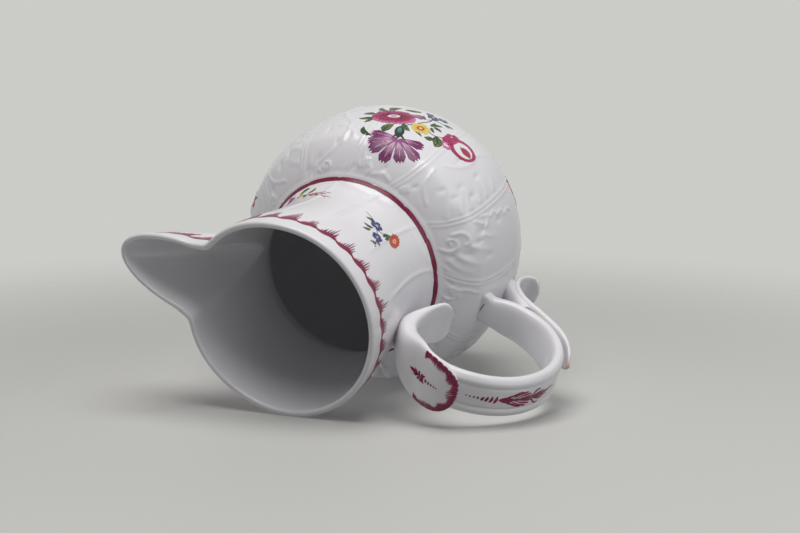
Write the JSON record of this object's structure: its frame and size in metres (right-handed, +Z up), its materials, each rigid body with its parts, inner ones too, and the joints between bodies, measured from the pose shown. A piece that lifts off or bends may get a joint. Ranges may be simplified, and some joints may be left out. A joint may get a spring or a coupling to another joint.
{
  "type": "ewer",
  "caption": "Glazed porcelain ewer: globular ribbed belly on a foot ring, waisted neck, beak pouring spout and a scrolled strap handle with leaf brackets.",
  "frame": {"origin": "middle of the foot ring's standing face, on the axis of the body", "axes": "+Z up along the axis of the body, +X towards the spout, -X towards the handle"},
  "size_m": [0.2106, 0.1412, 0.183],
  "materials": {
    "porcelain": "glossy white glaze with painted enamel",
    "foot_porcelain": "glazed, ground bare on the standing face"
  },
  "bodies": {
    "root": {"foot_ring": "foot_porcelain", "belly": "porcelain", "neck": "porcelain", "spout": "porcelain", "handle_strap": "porcelain", "upper_bracket": "porcelain", "upper_tongue": "porcelain", "lower_bracket": "porcelain", "lower_volute": "porcelain", "lower_leaf": "porcelain"}
  },
  "joints": []
}
